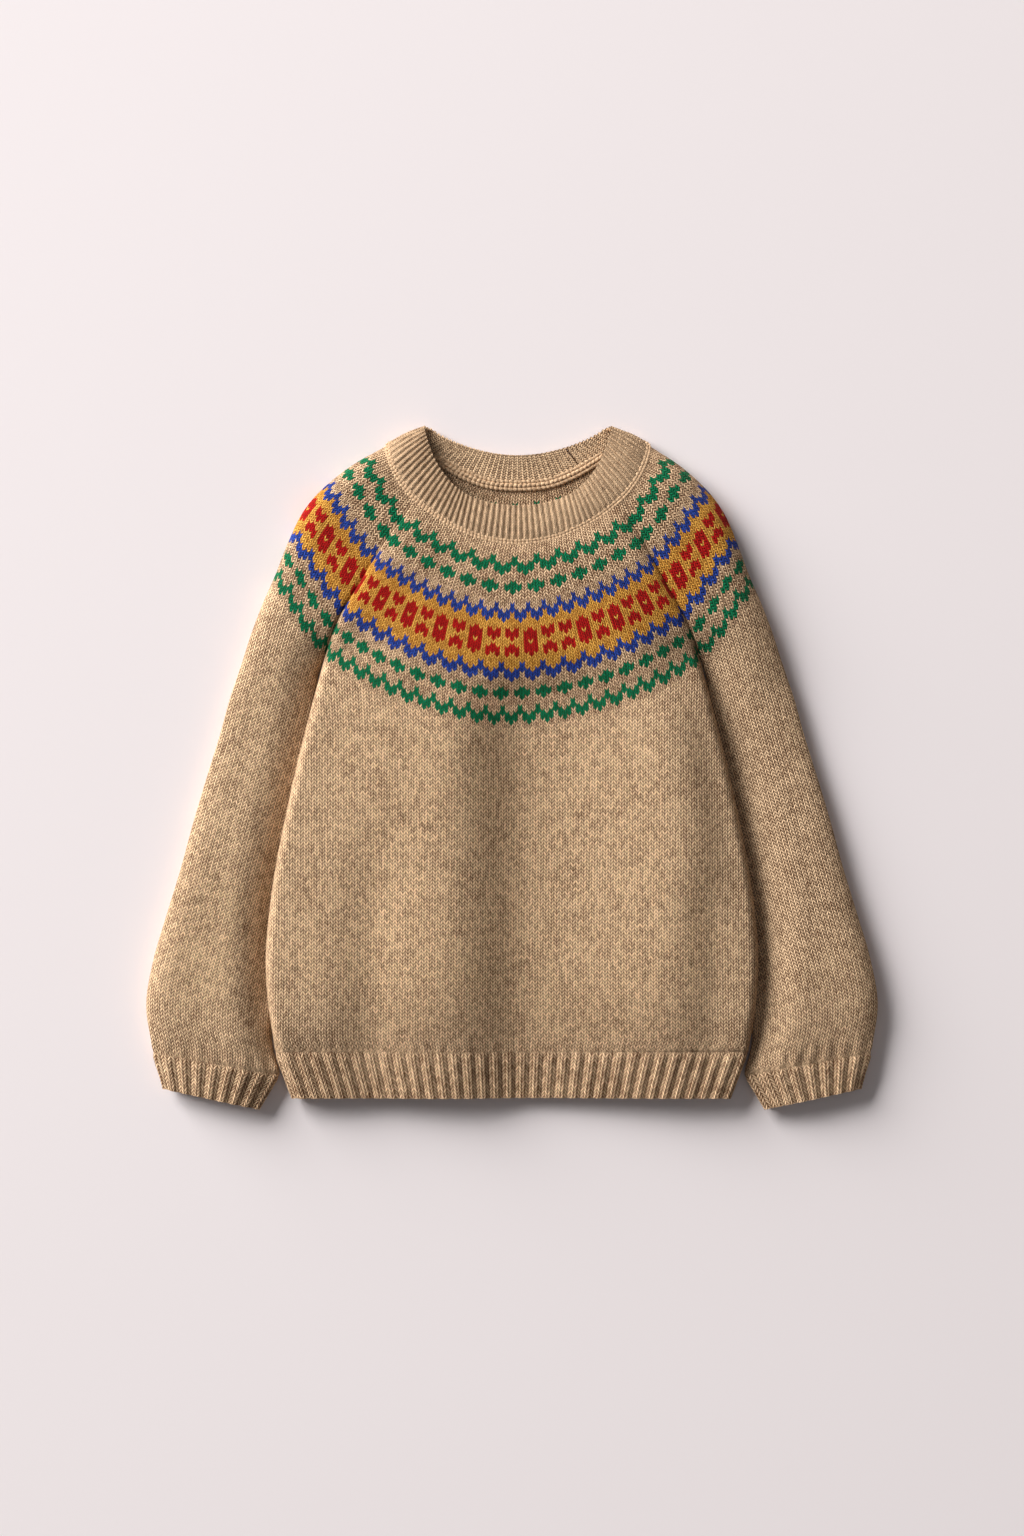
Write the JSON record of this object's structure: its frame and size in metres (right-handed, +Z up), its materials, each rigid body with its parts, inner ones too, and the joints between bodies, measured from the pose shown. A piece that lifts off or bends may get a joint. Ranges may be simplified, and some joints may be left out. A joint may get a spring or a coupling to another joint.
{
  "type": "fair isle jumper",
  "caption": "Child's round-yoke fair isle jumper in tan wool knit, laid flat on its back, with ribbed neckband, cuffs and hem.",
  "frame": {"origin": "centre of the garment's plan at the surface that it lies on", "axes": "+X from the wearer's right sleeve to the left one (picture right), +Y from the hem to the neck, +Z up from the surface through the laid garment"},
  "size_m": [0.4684, 0.4378, 0.0277],
  "materials": {
    "wool": "heathered tan wool stockinette, matt, with a fair isle yoke in green, blue, gold and red",
    "wool_rib": "heathered tan wool rib, matt"
  },
  "bodies": {
    "root": {"front": "wool", "back": "wool", "sleeve_left": "wool", "sleeve_right": "wool", "hem_rib_front": "wool_rib", "hem_rib_back": "wool_rib", "cuff_left": "wool_rib", "cuff_right": "wool_rib", "neckband": "wool_rib"}
  },
  "joints": []
}
